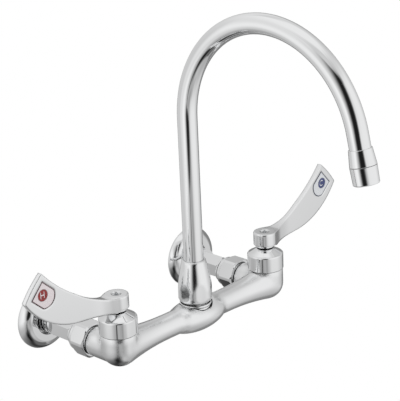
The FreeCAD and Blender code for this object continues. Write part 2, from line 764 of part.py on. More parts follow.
def index_plate(hand, place, side):
    """Plate let into the blade, with a shallow seat for the coloured mark."""
    body = hand_body(f"{hand}_index_plate", place, side)
    sketch = face_sketch(body, "Plate", side, INDEX_FACE)
    draw_loop(sketch, index_outline("index_gap"))
    pushed(body, "Plate", sketch, "index_thickness", back=side > 0)
    seat = mark_sketch(body, "MarkSeat", side, INDEX_FACE)
    draw_circle(seat, "mark_radius + face_gap")
    pushed(body, "MarkSeat", seat, "mark_thickness", cut=True, back=side < 0)


def letter_h():
    """Corners of a plain H about its middle."""
    tall, wide = "letter_height / 2", "letter_width / 2"
    bar, inner = "letter_stroke / 2", "(letter_width / 2 - letter_stroke)"
    quarter = [(wide, f"-{tall}"), (wide, tall), (inner, tall), (inner, bar)]
    half = quarter + [(f"-{across}", up) for across, up in quarter[:1:-1]]
    return half + [(f"-{wide}", tall), (f"-{wide}", f"-{tall}")] + [
        (f"-{inner}", f"-{tall}"), (f"-{inner}", f"-{bar}"), (inner, f"-{bar}"), (inner, f"-{tall}")]


def letter_c():
    """Corners of a plain C: a ring with a gap on its right, each way round in two arcs."""
    outer, inner = "letter_height / 2", "(letter_height / 2 - letter_stroke)"
    across, up = "cos(letter_opening / 2)", "sin(letter_opening / 2)"
    return [
        left(f"{outer} * {across}", f"{outer} * {up}", outer),
        left(f"-{outer}", "0", outer),
        (f"{outer} * {across}", f"-{outer} * {up}"),
        right(f"{inner} * {across}", f"-{inner} * {up}", inner),
        right(f"-{inner}", "0", inner),
        (f"{inner} * {across}", f"{inner} * {up}"),
    ]


def index_mark(hand, place, side):
    """Coloured disc with a plain letter cut through it, H for hot or C for cold."""
    body = hand_body(f"{hand}_index_mark", place, side)
    sketch = mark_sketch(body, "Mark", side, f"{INDEX_FACE} + mark_thickness")
    draw_circle(sketch, "mark_radius")
    pushed(body, "Mark", sketch, "mark_thickness", back=side < 0)
    letter = mark_sketch(body, "Letter", side, INDEX_FACE)
    draw_loop(letter, letter_h() if hand == "hot" else letter_c())
    pushed(body, "Letter", letter, "2 * mark_thickness", cut=True, both_ways=True)


def handle_screw(hand, place):
    """Socket screw that holds the handle down on the stem."""
    body = new_body(f"{hand}_handle_screw", place)
    head_top = f"({SCREW_SEAT} + screw_head_height)"
    tip = "(stem_top - screw_length)"
    turned(body, "Screw", [
        ("0", tip),
        ("screw_shank_radius", tip),
        ("screw_shank_radius", SCREW_SEAT),
        ("screw_head_radius", SCREW_SEAT),
        left("screw_head_radius", f"{head_top} - screw_head_rounding", "screw_head_rounding"),
        ("screw_head_radius - screw_head_rounding", head_top),
        ("0", head_top),
    ])
    socket = new_sketch(body, "Socket", "XY", ("0", "0", head_top))
    draw_loop(socket, hexagon("screw_socket"))
    pushed(body, "Socket", socket, "screw_socket_depth", cut=True)


def wall_body(label, place, up):
    """A body whose +Z points out of the wall."""
    return new_body(label, place, along="0", up=up, lean_axis=(1, 0, 0), lean="90")


def wall_flange(hand, place):
    """Thin domed flange that covers the hole in the wall round the coupling."""
    body = wall_body(f"{hand}_wall_flange", place, "0")
    hub = "coupling_radius + fixed_gap"
    floor = "(flange_hub_depth - flange_wall)"
    turned(body, "Dome", [
        ("flange_radius", "0"),
        left("flange_radius", "flange_rim", "flange_dome_radius"),
        ("flange_face_radius", "flange_depth"),
        ("flange_mouth_radius", "flange_depth"),
        ("flange_mouth_radius", "flange_hub_depth"),
        (hub, "flange_hub_depth"),
        (hub, floor),
        ("flange_mouth_radius + flange_wall", floor),
        ("flange_mouth_radius + flange_wall", "flange_depth - flange_wall"),
        right("flange_face_radius", "flange_depth - flange_wall", "flange_dome_radius - flange_wall"),
        ("flange_radius - flange_wall", "flange_rim"),
        ("flange_radius - flange_wall", "0"),
    ])


def wall_coupling(hand, place):
    """Offset coupling: its wall end is threaded for the supply, its arm is lower by the inlet lift."""
    body = wall_body(f"{hand}_wall_coupling", place, "0")
    low = ("-inlet_lift", "0", "0")
    wall_end = [("0", "0"), ("coupling_radius", "0"), ("coupling_radius", "coupling_thread_length")]
    for rib in range(RIB_COUNT):
        start = f"(coupling_thread_length + {rib} * (rib_width + rib_groove))"
        wall_end += [
            ("rib_root_radius", start),
            ("rib_root_radius", f"{start} + rib_groove"),
            ("rib_radius", f"{start} + rib_groove"),
            ("rib_radius", f"{start} + rib_groove + rib_width"),
        ]
    wall_end.append(("0", ARM_START))
    turned(body, "WallEnd", wall_end, plane="YZ")
    arm = new_sketch(body, "Arm", "XY", ("0", "-inlet_lift / 2", ARM_START))
    draw_loop(arm, hexagon("arm_across_flats"))
    pushed(body, "Arm", arm, "arm_length")
    turned(body, "Tail", [
        ("0", SHOULDER_START),
        ("arm_shoulder_radius", SHOULDER_START),
        ("arm_shoulder_radius", NECK_START),
        ("coupling_neck_radius", NECK_START),
        ("coupling_neck_radius", TAIL_START),
        ("tail_radius", TAIL_START),
        ("tail_radius", WASHER_START),
        ("0", WASHER_START),
    ], plane="YZ", shift=low)
    turned(body, "SupplyThread", [
        ("0", "-cut_room"),
        ("inlet_thread_radius", "-cut_room"),
        ("inlet_thread_radius", "inlet_thread_length"),
        ("coupling_bore_radius", "inlet_thread_length"),
        ("coupling_bore_radius", f"{ARM_START} + arm_length / 2"),
        ("0", f"{ARM_START} + arm_length / 2"),
    ], plane="YZ", cut=True)
    turned(body, "ArmBore", [
        ("0", ARM_START),
        ("coupling_bore_radius", ARM_START),
        ("coupling_bore_radius", f"{WASHER_START} + cut_room"),
        ("0", f"{WASHER_START} + cut_room"),
    ], plane="YZ", shift=low, cut=True)


def union_nut(hand, place):
    """Union nut that pulls the coupling's tail against the casting's side socket."""
    body = wall_body(f"{hand}_union_nut", place, AXIS_Z)
    turned(body, "Nut", [
        ("coupling_neck_radius + fixed_gap", NUT_START),
        left("nut_collar_radius - nut_collar_rounding", NUT_START, "nut_collar_rounding"),
        ("nut_collar_radius", f"{NUT_START} + nut_collar_rounding"),
        ("nut_collar_radius", NUT_HEX_START),
        ("nut_corner_radius - nut_chamfer_depth", NUT_HEX_START),
        ("nut_corner_radius", f"{NUT_HEX_START} + nut_chamfer_depth"),
        ("nut_corner_radius", f"{NUT_FRONT} - nut_chamfer_depth"),
        ("nut_corner_radius - nut_chamfer_width", NUT_FRONT),
        ("shank_thread_radius + fixed_gap", NUT_FRONT),
        ("shank_thread_radius + fixed_gap", f"{NUT_START} + nut_lip_thickness"),
        ("coupling_neck_radius + fixed_gap", f"{NUT_START} + nut_lip_thickness"),
    ])
    flats(body, "Flats", "nut_across_flats", "nut_corner_radius", NUT_HEX_START, "nut_hex_length + cut_room",
          turn="nut_turn")


def union_washer(hand, place):
    """Fibre washer between the coupling's tail and the casting."""
    body = wall_body(f"{hand}_union_washer", place, AXIS_Z)
    turned(body, "Washer", rectangle("washer_hole_radius", "tail_radius", WASHER_START, CASTING_START))


def spout_tube():
    """Chromed tube: a straight riser, one long bend over the sink and a short straight tail."""
    body = new_body("spout_tube")
    end_y = "-arc_radius * (1 - cos(arc_angle))"
    end_z = "(tube_straight_top + arc_radius * sin(arc_angle))"
    tail = "(adapter_start + adapter_shelf)"
    section = new_sketch(body, "Section", "XY", ("0", "0", "tube_foot_height"))
    draw_circle(section, "tube_radius")
    draw_circle(section, "tube_radius - tube_wall")
    path = new_sketch(body, "Path", "YZ")
    draw_loop(path, [
        ("0", "tube_foot_height"),
        left("0", "tube_straight_top", "arc_radius"),
        (end_y, end_z),
        (f"{end_y} - {tail} * sin(arc_angle)", f"{end_z} + {tail} * cos(arc_angle)"),
    ], closed=False)
    tube = body.newObject("PartDesign::AdditivePipe", "Tube")
    tube.Profile = (section, [""])
    tube.Spine = (path, [""])


def spout_sleeve():
    """Brass sleeve brazed on the tube's foot, which turns in the hub and is held by its flange."""
    body = new_body("spout_sleeve")
    outline = [
        ("tube_radius - tube_wall", "sleeve_bottom"),
        (SLEEVE_RADIUS, "sleeve_bottom"),
    ]
    for height in ("lower_ring_height", "upper_ring_height"):
        low = f"({height} - spout_ring_wire_radius - face_gap)"
        high = f"({height} + spout_ring_wire_radius + face_gap)"
        outline += [(SLEEVE_RADIUS, low), (SPOUT_RING_FLOOR, low)]
        outline += [(SPOUT_RING_FLOOR, high), (SLEEVE_RADIUS, high)]
    outline += [
        (SLEEVE_RADIUS, SLEEVE_SEAT),
        ("sleeve_flange_radius", SLEEVE_SEAT),
        ("sleeve_flange_radius", SLEEVE_TOP),
        ("tube_radius + face_gap", SLEEVE_TOP),
        ("tube_radius + face_gap", "tube_foot_height - face_gap"),
        ("tube_radius - tube_wall", "tube_foot_height - face_gap"),
    ]
    turned(body, "Sleeve", outline)


def spout_oring(label, height):
    """Rubber ring in a groove of the sleeve."""
    body = new_body(label)
    sketch = new_sketch(body, "Ring", "XZ")
    draw_circle(sketch, "spout_ring_wire_radius", f"{SLEEVE_RADIUS} - spout_ring_wire_radius", height)
    ring = body.newObject("PartDesign::Revolution", "Ring")
    ring.Profile = (sketch, [""])
    ring.ReferenceAxis = (sketch, ["V_Axis"])
    ring.Angle = 360


def spout_glide_ring():
    """Plastic ring on top of the hub's neck that the sleeve's flange slides on."""
    body = new_body("spout_glide_ring")
    turned(body, "Ring", rectangle("hub_bore_radius", "sleeve_flange_radius", HUB_NECK_TOP,
                                   f"{HUB_NECK_TOP} + glide_thickness"))


def spout_collar():
    """Ring of two rounded beads that sits on the hub under the spout's nut."""
    body = new_body("spout_collar")
    low = "(hub_height + face_gap)"
    high = f"({low} + collar_height)"
    middle = f"({low} + collar_height / 2)"
    turned(body, "Collar", [
        ("hub_neck_radius + fixed_gap", low),
        left("collar_radius - collar_bead_edge - collar_step", low, "collar_bead_radius"),
        ("collar_radius - collar_bead_edge - collar_step", f"{middle} - collar_groove_width / 2"),
        left("collar_radius - collar_bead_edge", f"{middle} + collar_groove_width / 2", "collar_bead_radius"),
        ("collar_radius - collar_bead_edge", high),
        ("hub_neck_radius + fixed_gap", high),
    ])


def spout_nut():
    """Tall tapered nut that holds the sleeve down, with wrench flats that run out in arcs."""
    body = new_body("spout_nut")
    turned(body, "Nut", [
        ("hub_neck_radius + fixed_gap", "spout_nut_bottom"),
        left("spout_nut_foot_radius", "spout_nut_bottom", "spout_nut_foot_bend"),
        ("spout_nut_radius", "spout_nut_bottom + spout_nut_foot_height"),
        left("spout_nut_radius", "spout_nut_belly_height", "spout_nut_side_bend"),
        ("spout_nut_top_radius", "spout_nut_top - spout_nut_top_rounding"),
        ("spout_nut_top_radius - spout_nut_top_rounding", "spout_nut_top"),
        ("tube_radius + running_gap", "spout_nut_top"),
        ("tube_radius + running_gap", f"{SLEEVE_TOP} + face_gap"),
        ("hub_neck_radius + fixed_gap", f"{SLEEVE_TOP} + face_gap"),
    ])
    flats(body, "Flats", "spout_nut_across_flats", "spout_nut_radius", "spout_nut_bottom - cut_room",
          "spout_nut_top", turn="spout_nut_turn")


def outlet_body(label):
    """A body on the tube's end, whose -Z is the way that the water leaves."""
    return new_body(label, along=ARC_END_Y, up=ARC_END_Z, lean_axis=(1, 0, 0), lean="arc_angle - 180")


def aerator_adapter():
    """Cone on the end of the tube, with a thread for the aerator."""
    body = outlet_body("aerator_adapter")
    turned(body, "Adapter", [
        ("tube_radius + face_gap", "-adapter_start"),
        right("adapter_top_radius - adapter_top_rounding", "-adapter_start", "adapter_top_rounding"),
        ("adapter_top_radius", "-adapter_start - adapter_top_rounding"),
        ("outlet_radius", f"-{OUTLET_START}"),
        ("adapter_thread_radius", f"-{OUTLET_START}"),
        ("adapter_thread_radius", f"-{WASHER_DEPTH}"),
        ("outlet_bore_radius", f"-{WASHER_DEPTH}"),
        ("outlet_bore_radius", "-adapter_start - adapter_shelf - face_gap"),
        ("tube_radius + face_gap", "-adapter_start - adapter_shelf - face_gap"),
    ])


def aerator_housing():
    """Smooth shell of the aerator, with a rounded lip round its mouth."""
    body = outlet_body("aerator_housing")
    end = f"({OUTLET_START} + outlet_length)"
    turned(body, "Shell", [
        ("adapter_thread_radius + fixed_gap", f"-{OUTLET_START} - outlet_seam"),
        ("outlet_radius", f"-{OUTLET_START} - outlet_seam"),
        right("outlet_lip_radius", f"-{end} + outlet_lip_rounding", "outlet_lip_rounding"),
        ("outlet_lip_radius - outlet_lip_rounding", f"-{end}"),
        ("outlet_mouth_radius", f"-{end}"),
        ("outlet_mouth_radius", f"-{INSERT_END}"),
        ("adapter_thread_radius + fixed_gap", f"-{INSERT_END}"),
    ])


def aerator_washer():
    """Rubber washer between the adapter's thread and the insert."""
    body = outlet_body("aerator_washer")
    turned(body, "Washer", rectangle("outlet_bore_radius", "insert_radius", f"-{INSERT_START}",
                                     f"-{WASHER_DEPTH}"))


def aerator_insert():
    """Plastic cup with a ring of jets in its roof and a seat for the screen."""
    body = outlet_body("aerator_insert")
    seat = f"(screen_thickness + face_gap - {INSERT_END})"
    turned(body, "Cup", [
        ("0", f"-{INSERT_START}"),
        ("insert_radius", f"-{INSERT_START}"),
        ("insert_radius", f"-{INSERT_END}"),
        ("screen_radius + face_gap", f"-{INSERT_END}"),
        ("screen_radius + face_gap", seat),
        ("insert_bore_radius", seat),
        ("insert_bore_radius", f"-{INSERT_START} - insert_roof"),
        ("0", f"-{INSERT_START} - insert_roof"),
    ])
    jet = new_sketch(body, "Jet", "XY", ("0", "0", f"-{INSERT_START}"))
    draw_circle(jet, "jet_radius", "jet_circle_radius")
    first = pushed(body, "Jet", jet, "insert_roof + cut_room", cut=True)
    repeated(body, "Jets", first, "jet_count")


def aerator_screen():
    """Metal screen at the mouth: rings of small holes round a middle one."""
    body = outlet_body("aerator_screen")
    top = f"screen_thickness - {INSERT_END}"
    turned(body, "Disc", rectangle("0", "screen_radius", f"-{INSERT_END}", top))
    middle = new_sketch(body, "MiddleHole", "XY", ("0", "0", f"cut_room - {INSERT_END}"))
    draw_circle(middle, "screen_hole_radius")
    pushed(body, "MiddleHole", middle, "screen_thickness + 2 * cut_room", cut=True)
    for ring in range(1, SCREEN_RINGS + 1):
        sketch = new_sketch(body, f"Hole{ring}", "XY", ("0", "0", f"cut_room - {INSERT_END}"))
        draw_circle(sketch, "screen_hole_radius", f"{ring} * screen_ring_step")
        hole = pushed(body, f"Hole{ring}", sketch, "screen_thickness + 2 * cut_room", cut=True)
        repeated(body, f"Ring{ring}", hole, 6 * ring)


def finish():
    """Check the whole document, then write one file for each piece."""
    document.recompute()
    faults = [item.Name for item in document.Objects if "Invalid" in item.State or "Error" in item.State]
    for item in document.Objects:
        if item.TypeId in ("PartDesign::Groove", "PartDesign::Pocket"):
            if item.Shape.Volume > item.BaseFeature.Shape.Volume - 0.01:
                faults.append(item.Name + " cuts nothing")
    for piece in pieces:
        if piece.Shape.isNull() or not piece.Shape.isValid():
            faults.append(piece.Label + " has no sound shape")
    if faults:
        raise SystemExit("faults: " + ", ".join(faults))
    os.makedirs("parts", exist_ok=True)
    for piece in pieces:
        piece.Shape.exportStep(f"parts/{piece.Label}.step")
        box = piece.Shape.optimalBoundingBox()
        print(f"{piece.Label}: {len(piece.Shape.Solids)} solid, {piece.Shape.Volume:.1f} mm3,"
              f" z {box.ZMin:.1f} to {box.ZMax:.1f}")


faucet_body()
for hand, side in (("hot", -1), ("cold", 1)):
    place = f"{side} * {VALVE_OUT}"
    bonnet(hand, place)
    cartridge_housing(hand, place)
    cartridge_stem(hand, place)
    stem_oring(hand, place)
    ceramic_disc(f"{hand}_fixed_disc", place, DISC_START, False)
    ceramic_disc(f"{hand}_moving_disc", place, MOVING_START, True)
    seat_seal(hand, place)
    handle(hand, place, side)
    index_plate(hand, place, side)
    index_mark(hand, place, side)
    handle_screw(hand, place)
    wall_flange(hand, place)
    wall_coupling(hand, place)
    union_nut(hand, place)
    union_washer(hand, place)
spout_tube()
spout_sleeve()
spout_oring("lower_spout_oring", "lower_ring_height")
spout_oring("upper_spout_oring", "upper_ring_height")
spout_glide_ring()
spout_collar()
spout_nut()
aerator_adapter()
aerator_housing()
aerator_washer()
aerator_insert()
aerator_screen()
finish()
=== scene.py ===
import bpy
import numpy as np
from mathutils import Matrix, Vector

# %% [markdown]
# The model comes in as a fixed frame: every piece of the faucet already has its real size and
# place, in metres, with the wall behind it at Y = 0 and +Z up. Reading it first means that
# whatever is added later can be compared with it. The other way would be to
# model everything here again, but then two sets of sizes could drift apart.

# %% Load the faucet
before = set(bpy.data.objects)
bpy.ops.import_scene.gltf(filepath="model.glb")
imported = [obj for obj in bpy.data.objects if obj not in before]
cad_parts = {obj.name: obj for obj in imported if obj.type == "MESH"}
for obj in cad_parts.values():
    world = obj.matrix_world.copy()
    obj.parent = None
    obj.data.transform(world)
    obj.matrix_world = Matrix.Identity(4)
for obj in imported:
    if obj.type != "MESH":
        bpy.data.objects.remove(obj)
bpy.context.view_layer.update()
print("pieces:", len(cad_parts))

# %% [markdown]
# Surfaces here are described with node graphs. A graph is easier to read when its arithmetic
# looks like ordinary sums, so a small class wraps one output socket and turns each operator
# into a Math node. Every other node comes from one method that takes the kind of node, its
# settings and what goes into its sockets.


# %% Sums on sockets
class Wire:
    """One output socket of a graph; sums on it add Math nodes."""

    def __init__(self, graph, socket):
        self.graph = graph
        self.socket = socket

    def math(self, operation, *values):
        return self.graph.add("ShaderNodeMath", {"operation": operation}, dict(enumerate(values)))

    def __add__(self, other):
        return self.math("ADD", self, other)

    def __mul__(self, other):
        return self.math("MULTIPLY", self, other)

    def __sub__(self, other):
        return self.math("SUBTRACT", self, other)

    def __rsub__(self, other):
        return self.math("SUBTRACT", other, self)

    def __truediv__(self, other):
        return self.math("DIVIDE", self, other)

    def __pow__(self, other):
        return self.math("POWER", self, other)

    __radd__ = __add__
    __rmul__ = __mul__

    def ramp(self, low, high, start=0.0, end=1.0):
        """A smooth step: start below low, end above high."""
        return self.graph.add("ShaderNodeMapRange", {"interpolation_type": "SMOOTHSTEP"},
                              {0: self, 1: low, 2: high, 3: start, 4: end})


class Graph:
    """A node graph that is built one node at a time."""

    def __init__(self, tree):
        self.tree = tree
        tree.nodes.clear()

    def add(self, kind, settings=None, sockets=None, out=0):
        """A new node's output number out, or the node itself where it has no outputs."""
        node = self.tree.nodes.new(kind)
        for name, value in (settings or {}).items():
            setattr(node, name, value)
        for name, value in (sockets or {}).items():
            if isinstance(value, Wire):
                self.tree.links.new(value.socket, node.inputs[name])
            else:
                node.inputs[name].default_value = value
        return Wire(self, node.outputs[out]) if len(node.outputs) else node


print("sums on sockets are ready")

# %% [markdown]
# The photograph was taken with a long lens, from in front of the faucet, on its hot side and a
# little above it. A camera could be aimed by eye, but here its place and its axes were solved
# from the known 8 inch distance of the inlets, so they are simply stated. The focal length in
# pixels becomes a lens length through the width of the sensor.

# %% Camera
FOCAL_PIXELS = 1523.24
LONG_SIDE_PIXELS = 401
SENSOR_WIDTH = 36.0
NEAREST_SEEN = 0.05
FARTHEST_SEEN = 50.0
CAMERA_PLACE = Vector((-0.95295, -1.07933, 0.60059))
CAMERA_RIGHT = Vector((0.69778, -0.71515, -0.04075))
CAMERA_UP = Vector((0.26769, 0.20757, 0.94088))
camera_data = bpy.data.cameras.new("photo_camera")
camera_data.sensor_width = SENSOR_WIDTH
camera_data.lens = FOCAL_PIXELS / LONG_SIDE_PIXELS * SENSOR_WIDTH
camera_data.clip_start = NEAREST_SEEN
camera_data.clip_end = FARTHEST_SEEN
camera = bpy.data.objects.new("photo_camera", camera_data)
turn = Matrix((CAMERA_RIGHT, CAMERA_UP, CAMERA_RIGHT.cross(CAMERA_UP))).transposed()
camera.matrix_world = Matrix.Translation(CAMERA_PLACE) @ turn.to_4x4()
bpy.context.scene.collection.objects.link(camera)
bpy.context.scene.camera = camera
bpy.context.scene.view_settings.view_transform = "Standard"
print(f"lens: {camera_data.lens:.1f} mm")

# %% [markdown]
# Chrome has no look of its own: it shows the room. The room in the photograph is a small white
# light tent with an opening for the camera, and that opening is the soft black stripe in every
# tube and nut. A sky that is infinitely far away could hold it, but then the stripe would sit at
# the same angle in every piece, and in the photograph it doesn't, because the tent's wall is
# only about two feet away. So the tent is a real round shell about the faucet. The camera looks
# straight through it, so it shows only in reflections.

# %% The tent's shell
TENT_CENTRE = Vector((0.10, -0.21, 0.22))
TENT_RADIUS = 0.64
TENT_SIDES = 96


def round_shell(name, centre, radius, sides):
    """A sphere: centre + radius * (cos u cos v, sin u cos v, sin v), u round it and v upwards."""
    around = np.linspace(0.0, 2 * np.pi, sides, endpoint=False)
    up = np.linspace(-0.5 * np.pi, 0.5 * np.pi, sides // 2 + 1)[1:-1]
    u, v = np.meshgrid(around, up)
    rings = np.stack([np.cos(u) * np.cos(v), np.sin(u) * np.cos(v), np.sin(v)], axis=-1).reshape(-1, 3)
    points = np.concatenate([rings, [[0, 0, -1], [0, 0, 1]]]) * radius + np.array(centre)
    here = np.arange(sides)
    beside = (here + 1) % sides
    low = np.arange(len(up) - 1)[:, None] * sides
    high = low + sides
    wall = np.stack([low + here, low + beside, high + beside, high + here], axis=-1).reshape(-1, 4)
    bottom, top = np.full(sides, len(rings)), np.full(sides, len(rings) + 1)
    last = (len(up) - 1) * sides
    lower_cap = np.stack([bottom, beside, here], axis=-1)
    upper_cap = np.stack([last + here, last + beside, top], axis=-1)
    mesh = bpy.data.meshes.new(name)
    mesh.from_pydata(points.tolist(), [], wall.tolist() + lower_cap.tolist() + upper_cap.tolist())
    return bpy.data.objects.new(name, mesh)


tent = round_shell("light_tent", TENT_CENTRE, TENT_RADIUS, TENT_SIDES)
bpy.context.scene.collection.objects.link(tent)
tent.visible_camera = False
tent.visible_shadow = False
print("tent faces:", len(tent.data.polygons))

# %% [markdown]
# The tent's light comes from soft-edged panels on the shell, each with a direction as seen from
# the shell's middle, a size and a brightness as it looks on screen. They are laid over each other
# in order, as sheets of paper would be, so a later one covers what is under it. Each could be a
# lamp of its own, but one material with all of them is quicker to change and has no seams.

# %% Light on the tent
TENT_WHITE = 0.905
SCREEN_GAMMA = 2.2
CHROME_TINT = (0.93, 0.935, 0.94)
# Each panel: its middle azimuth and half width, its middle elevation and half height, the widths
# of its soft edges sideways and upwards, all in degrees, its brightness, and its lean, which is
# the shift of its middle azimuth for each degree upwards. Azimuth 0 lies straight in front of
# the faucet and grows towards its cold side.
PANELS = {
    "left wall, low": (-198, 71, -41, 73, 27, 60, 0.78, 0.72),
    "right wall": (92, 31, 2, 48, 60, 4, 0.76, 0.0),
    "wall behind": (125, 16, -39, 73, 39, 30, 0.60, 0.0),
    "left wall beside the opening": (-115, 24, 2, 10, 17, 60, 1.02, -0.41),
    "grey round the opening": (-49, 19, 1, 48, 55, 42, 0.04, 0.0),
    "right wall beside the opening": (-10, 43, -7, 26, 3, 60, 0.90, 0.09),
    "opening for the camera": (-47, 16, 10, 33, 16, 9, 0.13, 0.27),
    "foot of the opening": (-32, 8, -33, 30, 19, 6, 0.69, -0.12),
    "front edge of the table": (-70, 17, -37, 12, 26, 3, 0.73, -0.14),
    "table on the right": (49, 143, -108, 54, 4, 60, 0.67, 0.48),
    "table on the left": (-132, 50, -86, 47, 28, 30, 0.39, 0.36),
    "dark end of the table": (-137, 51, -57, 9, 57, 12, 0.02, 0.91),
    "fold in the right wall": (-23, 7, 0, 41, 28, 10, 0.89, 0.0),
    "roof over the opening": (-62, 32, 49, 9, 60, 7, 0.79, 0.93),
    "edge of the roof": (81, 106, 57, 4, 6, 34, 0.69, 0.0),
    "left wall behind": (-135, 34, -51, 3, 20, 34, 1.02, 0.66),
    "gap under the opening": (-73, 2, -33, 16, 5, 3, 0.15, 0.68),
    "unlit wall far behind": (135, 38, -45, 36, 20, 10, 0.50, 0.0),
}


def soft_band(value, half, edge):
    """1 where value is within half of 0, falling to 0 outside through a soft edge."""
    rising = value.ramp(-half - edge / 2, -half + edge / 2)
    falling = value.ramp(half - edge / 2, half + edge / 2, 1.0, 0.0)
    return rising * falling


tent_light = bpy.data.materials.new("tent_light")
tent_light.use_nodes = True
room = Graph(tent_light.node_tree)
place = room.add("ShaderNodeTexCoord", out=3)
outwards = room.add("ShaderNodeVectorMath", {"operation": "SUBTRACT"}, {0: place, 1: TENT_CENTRE})
direction = room.add("ShaderNodeVectorMath", {"operation": "NORMALIZE"}, {0: outwards})
split = room.add("ShaderNodeSeparateXYZ", sockets={0: direction}).socket.node
across, inwards, upwards = (Wire(room, split.outputs[axis]) for axis in range(3))
azimuth = across.math("DEGREES", across.math("ARCTAN2", across, 0 - inwards))
elevation = upwards.math("DEGREES", upwards.math("ARCSINE", upwards))
brightness = TENT_WHITE
for middle, half_width, level, half_height, side_edge, rise_edge, shine, lean in PANELS.values():
    above = elevation - level
    aside = azimuth.math("WRAP", azimuth - middle - above * lean, -180.0, 180.0)
    share = soft_band(aside, half_width, side_edge) * soft_band(above, half_height, rise_edge)
    brightness = share * (shine - brightness) + brightness
glow = brightness ** SCREEN_GAMMA / CHROME_TINT[0]
shining = room.add("ShaderNodeEmission", sockets={"Color": glow})
room.add("ShaderNodeOutputMaterial", sockets={"Surface": shining})
tent_light.cycles.emission_sampling = "NONE"
tent.data.materials.append(tent_light)
print("panels in the tent:", len(PANELS))

# %% [markdown]
# Behind everything is plain white. It is seen only by the camera, as a photographer's white
# paper is when it is lit on its own, so it adds no light to the chrome.

# %% White ground
world = bpy.data.worlds.new("white_ground")
world.use_nodes = True
bpy.context.scene.world = world
ground = Graph(world.node_tree)
seen = ground.add("ShaderNodeLightPath", out=0)
paper = ground.add("ShaderNodeBackground", sockets={"Color": (1, 1, 1, 1), "Strength": seen})
ground.add("ShaderNodeOutputWorld", sockets={"Surface": paper})
print("the ground is white")

# %% [markdown]
# The faucet hangs on a wall, so the floor lies well below it. It is plain, pale and evenly lit.
# A dull white sheet with a lamp over it would fall off to grey at its edges, so it gives off
# its own even light instead, and the chrome takes its reflections from the tent alone.

# %% Pale floor
FLOOR_HALF = 6.0
FLOOR_HEIGHT = -0.12
CORNER_SIGNS = ((-1, -1), (1, -1), (1, 1), (-1, 1))
corners = [(x * FLOOR_HALF, y * FLOOR_HALF, FLOOR_HEIGHT) for x, y in CORNER_SIGNS]
floor_mesh = bpy.data.meshes.new("pale_floor")
floor_mesh.from_pydata(corners, [], [(0, 1, 2, 3)])
floor = bpy.data.objects.new("pale_floor", floor_mesh)
bpy.context.scene.collection.objects.link(floor)
floor.visible_glossy = False
floor.visible_diffuse = False
floor.visible_shadow = False
floor_paint = bpy.data.materials.new("pale_floor")
floor_paint.use_nodes = True
floor_graph = Graph(floor_paint.node_tree)
floor_light = floor_graph.add("ShaderNodeEmission", sockets={"Color": (1.0, 1.0, 1.0, 1.0)})
floor_graph.add("ShaderNodeOutputMaterial", sockets={"Surface": floor_light})
floor_mesh.materials.append(floor_paint)
print("floor height:", FLOOR_HEIGHT)

# %% [markdown]
# A few helpers make every finish: a shader with constant settings on its own sockets, and with
# what changes over the surface wired to colour, roughness or normal. Patterns are read in the
# object's own metres, so one grain size fits every piece. Edges could be rounded in the mesh,
# but a normal that is averaged over a small radius looks the same and leaves the shapes alone.

# %% Finish helpers
EDGE_SAMPLES = 12


def new_finish(name):
    """An empty material and its graph, with the object's own coordinates at hand."""
    material = bpy.data.materials.new(name)
    material.use_nodes = True
    graph = Graph(material.node_tree)
    graph.place = graph.add("ShaderNodeTexCoord", out=3)
    return material, graph


def speckle(graph, size, detail=2.0, stretch=(1.0, 1.0, 1.0)):
    """Noise from 0 to 1 whose grains are about size metres across, stretched along the axes."""
    scaled = graph.add("ShaderNodeMapping",
                       sockets={"Vector": graph.place, "Scale": [1 / way for way in stretch]})
    return graph.add("ShaderNodeTexNoise", sockets={"Vector": scaled, "Scale": 1 / size, "Detail": detail})


def shade(graph, low, high, amount):
    """A colour between two others."""
    return graph.add("ShaderNodeMix", {"data_type": "RGBA"},
                     {0: amount, 6: (*low, 1.0), 7: (*high, 1.0)}, out=2)


def close(graph, **sockets):
    """Wire the shader to the output, with its sockets' names written with low lines."""
    named = {name.replace("_", " "): value for name, value in sockets.items()}
    shader = graph.add("ShaderNodeBsdfPrincipled", sockets=named)
    graph.add("ShaderNodeOutputMaterial", sockets={"Surface": shader})


def bumps(graph, height, depth, softness=0.0):
    """A normal that follows a height pattern whose full depth is given in metres.

    Softness is the radius over which edges and inner corners are rounded off, in metres.
    """
    sockets = {"Height": height, "Distance": depth, "Strength": 1.0}
    if softness:
        sockets["Normal"] = graph.add("ShaderNodeBevel", {"samples": EDGE_SAMPLES}, {"Radius": softness})
    return graph.add("ShaderNodeBump", sockets=sockets)


print("finish helpers are ready")

# %% [markdown]
# Chrome plate is a mirror, but not the same mirror everywhere. The bent tube was drawn and
# polished and shows sharp reflections. The casting and the levers were ground and buffed before
# plating, so their reflections are soft and their edges rounded. Turned nuts and caps lie
# between, and the tall nut's flats were buffed after they were cut. The finishes differ in
# roughness, with a faint uneven polish and a shallow waviness. Narrow grooves and gaps get
# painted shade: a look around each point, over a few millimetres, finds how closed in it is, and
# there the colour goes nearly black. On a lever the open corner where a blade leaves its hub
# would take this shade too, so there only a deeper hollow is darkened.

# %% Chrome finishes
PAINTED_SHADE_REACH = 0.004
PAINTED_SHADE_SAMPLES = 12
# How open a point is where the painted shade is at its darkest, and how open where there is none.
GROOVE_PAINTED_SHADE = (0.25, 0.55)
OPEN_CORNER_PAINTED_SHADE = (0.05, 0.30)
# Painted shade: the near-black colour given to grooves and gaps.
PAINTED_SHADE_TINT = (0.05, 0.05, 0.05)
FAINT_TINT = tuple(0.985 * part for part in CHROME_TINT)
POLISH_SPREAD = (0.25, 0.75)


